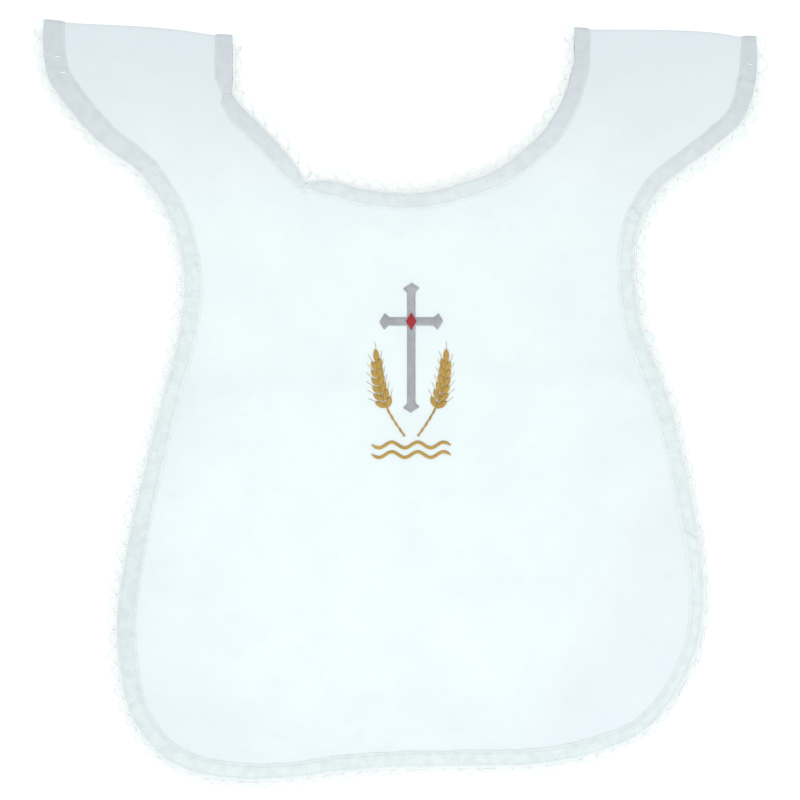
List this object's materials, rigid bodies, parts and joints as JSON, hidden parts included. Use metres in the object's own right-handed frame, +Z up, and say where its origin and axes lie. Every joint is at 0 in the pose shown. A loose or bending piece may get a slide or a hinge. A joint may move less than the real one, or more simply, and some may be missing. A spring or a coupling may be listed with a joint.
{
  "type": "baptismal chasuble",
  "caption": "Child's sleeveless baptismal chasuble laid flat: joined front and back, deep round neck, folded shoulders, grey-white tape, picot lace edge and a stitched cross on the chest.",
  "frame": {"origin": "middle of the garment's box at floor level, under the back panel", "axes": "+X across the garment to the right as the picture shows it, +Y up the garment from the hem to the shoulders, +Z up out of the front panel"},
  "size_m": [0.3982, 0.4179, 0.0058],
  "materials": {
    "cloth": "fine plain weave, matt, slightly sheer",
    "tape": "folded bias tape, matt",
    "lace": "white picot lace, soft sheen",
    "silver_thread": "silver-grey embroidery thread, satin sheen",
    "gold_thread": "gold embroidery thread, satin sheen",
    "red_thread": "dark red embroidery thread, satin sheen"
  },
  "bodies": {
    "root": {"front_panel": "cloth", "back_panel": "cloth", "edge_tape_front": "tape", "edge_tape_back": "tape", "neck_tape_front": "tape", "neck_tape_back": "tape", "edge_lace_front": "lace", "edge_lace_back": "lace", "neck_lace_front": "lace", "neck_lace_back": "lace", "embroidery_cross": "silver_thread", "embroidery_lozenge": "red_thread", "embroidery_ear_left": "gold_thread", "embroidery_ear_right": "gold_thread", "embroidery_wave_upper": "gold_thread", "embroidery_wave_lower": "gold_thread"}
  },
  "joints": []
}
